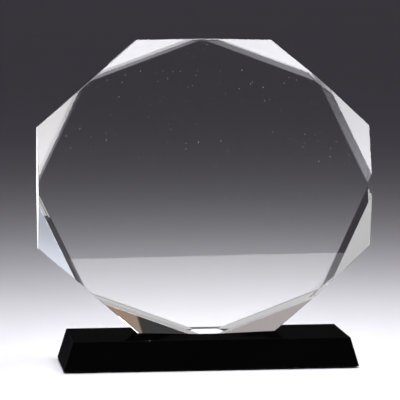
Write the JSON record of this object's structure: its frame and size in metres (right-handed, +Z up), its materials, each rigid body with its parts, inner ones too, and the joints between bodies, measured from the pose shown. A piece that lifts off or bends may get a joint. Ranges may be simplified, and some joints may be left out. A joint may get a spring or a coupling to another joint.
{
  "type": "crystal plaque award",
  "caption": "Clear crystal plaque award: a thick octagon, wider than tall, with facet-cut corners, leaning back slightly on a black glass block with sloped ends.",
  "frame": {"origin": "on the table surface, at the middle of the award's outer box seen from above", "axes": "+X to the viewer's right along the plaque's width, +Y away from the viewer through its depth, +Z up; the engraved side would face -Y"},
  "size_m": [0.2, 0.0582, 0.1929],
  "materials": {
    "clear_crystal": "clear optical crystal, cut flat and polished",
    "cured_adhesive": "thin cured clear adhesive over black glass, so it reads black",
    "black_glass": "solid black glass, polished to a high gloss",
    "clear_rubber": "soft clear polyurethane, slightly milky"
  },
  "bodies": {
    "root": {"crystal_plaque": "clear_crystal", "bond_film": "cured_adhesive", "base_block": "black_glass", "bumper_foot_front_left": "clear_rubber", "bumper_foot_front_right": "clear_rubber", "bumper_foot_back_left": "clear_rubber", "bumper_foot_back_right": "clear_rubber"}
  },
  "joints": []
}
